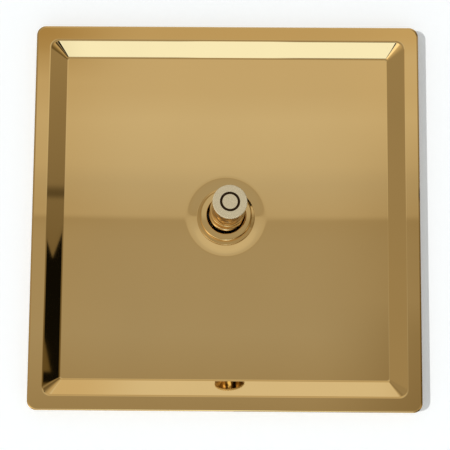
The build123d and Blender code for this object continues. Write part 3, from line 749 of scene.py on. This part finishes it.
# Sizes in mm, the same as the CAD's. Heights are out from the wall.
PLATE_HALF = 43.0
PLATE_CORNER_R = 2.1
OUTER_EDGE_R = 0.5
RIM_FLAT_START = 0.6
RIM_HEIGHT = 4.0
RIM_INNER_HALF = 39.7
RIM_CORNER_R = 2.0
RIM_THICKNESS = 1.3
BEVEL_BEND = 0.255
BEVEL_BACK_HALF = 39.942
FLOOR_HALF = 36.25
FLOOR_HEIGHT = 1.55
FLOOR_CORNER_R = 0.5
FLOOR_BACK_HALF = 36.633
FLOOR_BACK_HEIGHT = 0.35
SKIRT_INNER_HALF = 41.4
DISH_OUTSIDE_R = 9.6
DISH_R = 8.4
DISH_BEND = 1.0
DISH_SEAT_R = 6.5
PANEL_HOLE_R = 5.15

SEAT = 1.4505
MOUTH = 4.5005
COLLAR_R = 6.4
FLANGE_EDGE_HEIGHT = 0.5
FLANGE_EDGE_BEND = 0.125
FLANGE_ROOT_HEIGHT = 0.62
COLLAR_BODY_R = 5.75
COLLAR_EDGE_R = 0.45
COLLAR_LIP = 0.55
COLLAR_BORE_R = 5.05
MOUTH_R = 4.22
MOUTH_EDGE_R = 0.12

# Heights along the lever are from its pivot.
SLEEVE_START = 4.0
SLEEVE_R = 3.65
SLEEVE_CHAMFER = 0.2
SLEEVE_BORE_R = 2.35
SLEEVE_BORE_END = 8.05
BAND_R = 3.9
BAND_END = 5.6
CAP_R = 3.72
CAP_START = 11.6
CAP_EDGE = 0.12
CAP_RING_DEPTH = 0.25
CAP_BORE_R = 1.55
CAP_BORE_START = 9.75
CAP_SPIGOT_R = 1.5
CAP_SPIGOT_START = 9.8
LEVER_END = 12.1

PLATE_SECTION = [
    (PLATE_HALF, PLATE_CORNER_R, 0),
    (PLATE_HALF, PLATE_CORNER_R, RIM_HEIGHT, OUTER_EDGE_R),
    (PLATE_HALF - RIM_FLAT_START, PLATE_CORNER_R - RIM_FLAT_START, RIM_HEIGHT),
    (RIM_INNER_HALF, RIM_CORNER_R, RIM_HEIGHT, BEVEL_BEND),
    (FLOOR_HALF, FLOOR_CORNER_R, FLOOR_HEIGHT, BEVEL_BEND),
    (DISH_OUTSIDE_R, DISH_OUTSIDE_R, FLOOR_HEIGHT),
    (DISH_R, DISH_R, FLOOR_HEIGHT, DISH_BEND),
    (DISH_SEAT_R, DISH_SEAT_R, SEAT),
    (PANEL_HOLE_R, PANEL_HOLE_R, SEAT),
    (PANEL_HOLE_R, PANEL_HOLE_R, FLOOR_BACK_HEIGHT),
    (FLOOR_BACK_HALF, FLOOR_CORNER_R, FLOOR_BACK_HEIGHT),
    (BEVEL_BACK_HALF, RIM_CORNER_R, RIM_HEIGHT - RIM_THICKNESS),
    (SKIRT_INNER_HALF, FLOOR_CORNER_R, RIM_HEIGHT - RIM_THICKNESS),
    (SKIRT_INNER_HALF, FLOOR_CORNER_R, 0),
]
COLLAR_SECTION = [
    (COLLAR_R, SEAT),
    (COLLAR_R, SEAT + FLANGE_EDGE_HEIGHT, FLANGE_EDGE_BEND),
    (COLLAR_BODY_R, SEAT + FLANGE_ROOT_HEIGHT),
    (COLLAR_BODY_R, MOUTH, COLLAR_EDGE_R),
    (MOUTH_R, MOUTH, MOUTH_EDGE_R),
    (MOUTH_R, MOUTH - COLLAR_LIP),
    (COLLAR_BORE_R, MOUTH - COLLAR_LIP),
    (COLLAR_BORE_R, SEAT),
]
SLEEVE_SECTION = [
    (0, SLEEVE_BORE_END),
    (SLEEVE_BORE_R, SLEEVE_BORE_END),
    (SLEEVE_BORE_R, SLEEVE_START),
    (BAND_R - SLEEVE_CHAMFER, SLEEVE_START),
    (BAND_R, SLEEVE_START + SLEEVE_CHAMFER),
    (BAND_R, BAND_END, BAND_R - SLEEVE_R),
    (SLEEVE_R, BAND_END),
    (SLEEVE_R, CAP_START),
    (CAP_BORE_R, CAP_START),
    (CAP_BORE_R, CAP_BORE_START),
    (0, CAP_BORE_START),
]
CAP_SECTION = [
    (0, CAP_SPIGOT_START),
    (CAP_SPIGOT_R, CAP_SPIGOT_START),
    (CAP_SPIGOT_R, CAP_START),
    (CAP_R, CAP_START),
    (CAP_R, LEVER_END - CAP_EDGE),
    (CAP_R - CAP_EDGE, LEVER_END),
    (CAP_RING_R + CAP_RING_WIDTH / 2, LEVER_END),
    (CAP_RING_R + CAP_RING_WIDTH / 2, LEVER_END - CAP_RING_DEPTH),
    (CAP_RING_R - CAP_RING_WIDTH / 2, LEVER_END - CAP_RING_DEPTH),
    (CAP_RING_R - CAP_RING_WIDTH / 2, LEVER_END),
    (0, LEVER_END),
]

# The spring in the lever's tail, in mm, with distances measured back from the pivot.
SPRING_BORE_START = 2.3
PLUNGER_SHANK_START = 7.05
SPRING_R = 1.15
SPRING_WIRE_R = 0.18
SPRING_TURNS = 6
SPRING_FAR_END = PLUNGER_SHANK_START - 2 * SPRING_WIRE_R
SPRING_LENGTH = SPRING_FAR_END - SPRING_BORE_START - 2 * SPRING_WIRE_R
COIL_STEPS = 40
WIRE_SIDES = 12


def make_spring():
    """The plunger's coil spring, in the lever's tail."""
    across = Vector((1, 0, 0))
    up = TAIL_AXIS.cross(across)
    climb = SPRING_LENGTH / (2 * math.pi * SPRING_TURNS)
    places = []
    for i in range(SPRING_TURNS * COIL_STEPS + 1):
        angle = 2 * math.pi * i / COIL_STEPS
        outward = math.cos(angle) * across + math.sin(angle) * up
        ahead = (math.cos(angle) * up - math.sin(angle) * across) * SPRING_R + climb * TAIL_AXIS
        sideways = ahead.normalized().cross(outward)
        middle = SPRING_R * outward + (climb * angle - SPRING_FAR_END) * TAIL_AXIS
        for j in range(WIRE_SIDES):
            turn = 2 * math.pi * j / WIRE_SIDES
            rim = math.cos(turn) * outward + math.sin(turn) * sideways
            places.append(LEVER_PIVOT + (middle + SPRING_WIRE_R * rim) * MM)
    last = len(places) - WIRE_SIDES
    faces = []
    for first in range(0, last, WIRE_SIDES):
        for j in range(WIRE_SIDES):
            k = (j + 1) % WIRE_SIDES
            faces.append((first + j, first + k, first + WIRE_SIDES + k, first + WIRE_SIDES + j))
    faces += [range(WIRE_SIDES)[::-1], range(last, len(places))]
    spring = mesh_object("coiled_spring", places, faces, FINISHES["spring_steel"])
    stand_for(spring, "plunger_spring")
    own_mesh(spring)


def make_pieces():
    """Smooth meshes in place of four CAD nodes at the front, and a coil spring."""
    on_the_lever = {"closed": False, "origin": LEVER_PIVOT, "axis": LEVER_AXIS}
    make_piece("pressed_face_plate", "face_plate", PLATE_SECTION)
    make_piece("turned_collar", "collar", of_circles(COLLAR_SECTION))
    make_piece("turned_sleeve", "lever_sleeve", of_circles(SLEEVE_SECTION), **on_the_lever)
    make_piece("turned_cap", "lever_cap", of_circles(CAP_SECTION), **on_the_lever)
    make_spring()


# ------------------------------------------------------------------ stage


def add_sheet(name, corners, faces, material):
    """A flat stage surface, which the polished metal doesn't reflect."""
    sheet = mesh_object(name, corners, faces, material, smooth=False)
    sheet.visible_glossy = False


PAPER_WHITE = (0.9, 0.9, 0.9, 1.0)
PAPER_GLOW = (0.215, 0.235, 0.24, 1.0)


def white_paint(name, see_through_back):
    """A matt white that glows softly. It is clear from behind if asked, to leave the switch in view."""
    material, g, sockets = new_material(name)
    sockets["Base Color"].default_value = PAPER_WHITE
    sockets["Roughness"].default_value = 0.9
    sockets["Specular IOR Level"].default_value = 0.0
    sockets["Emission Color"].default_value = PAPER_GLOW
    sockets["Emission Strength"].default_value = 1.0
    if see_through_back:
        output = next(n for n in g.tree.nodes if n.type == "OUTPUT_MATERIAL")
        painted = next(n for n in g.tree.nodes if n.type == "BSDF_PRINCIPLED")
        choice = g.add("ShaderNodeMixShader")
        g.link(g.add("ShaderNodeNewGeometry").outputs["Backfacing"], choice.inputs[0])
        g.link(painted.outputs[0], choice.inputs[1])
        g.link(g.add("ShaderNodeBsdfTransparent").outputs[0], choice.inputs[2])
        g.link(choice.outputs[0], output.inputs["Surface"])
    return material


# Stage sizes in metres. The wall is a hair behind the plate's rear edge, so that the two faces never
# share a plane.
WALL_Y = 0.02 * MM
WALL_HALF = 0.6
OPENING_HALF = 0.034
FLOOR_DROP = 0.45
FLOOR_REACH = 0.9
SQUARE = [(-1, -1), (1, -1), (1, 1), (-1, 1)]


def build_stage():
    """A white wall with an opening for the switch body, and a white floor."""
    low, high = (-WALL_HALF, -FLOOR_DROP), (WALL_HALF, WALL_HALF)
    outer = [(x, WALL_Y, z) for x, z in (low, (high[0], low[1]), high, (low[0], high[1]))]
    inner = [(x * OPENING_HALF, WALL_Y, z * OPENING_HALF) for x, z in SQUARE]
    around = [(i, (i + 1) % 4, 4 + (i + 1) % 4, 4 + i) for i in range(4)]
    add_sheet("wall", outer + inner, around, white_paint("wall_paint", True))
    floor = [(x * FLOOR_REACH, y * FLOOR_REACH, -FLOOR_DROP) for x, y in SQUARE]
    add_sheet("floor", floor, [(0, 1, 2, 3)], white_paint("floor_paint", False))


# ------------------------------------------------------------------ build

add_camera()
light_world()
add_sun()
build_stage()
finish_cad_nodes()
make_pieces()
bpy.context.scene.view_settings.view_transform = "Standard"
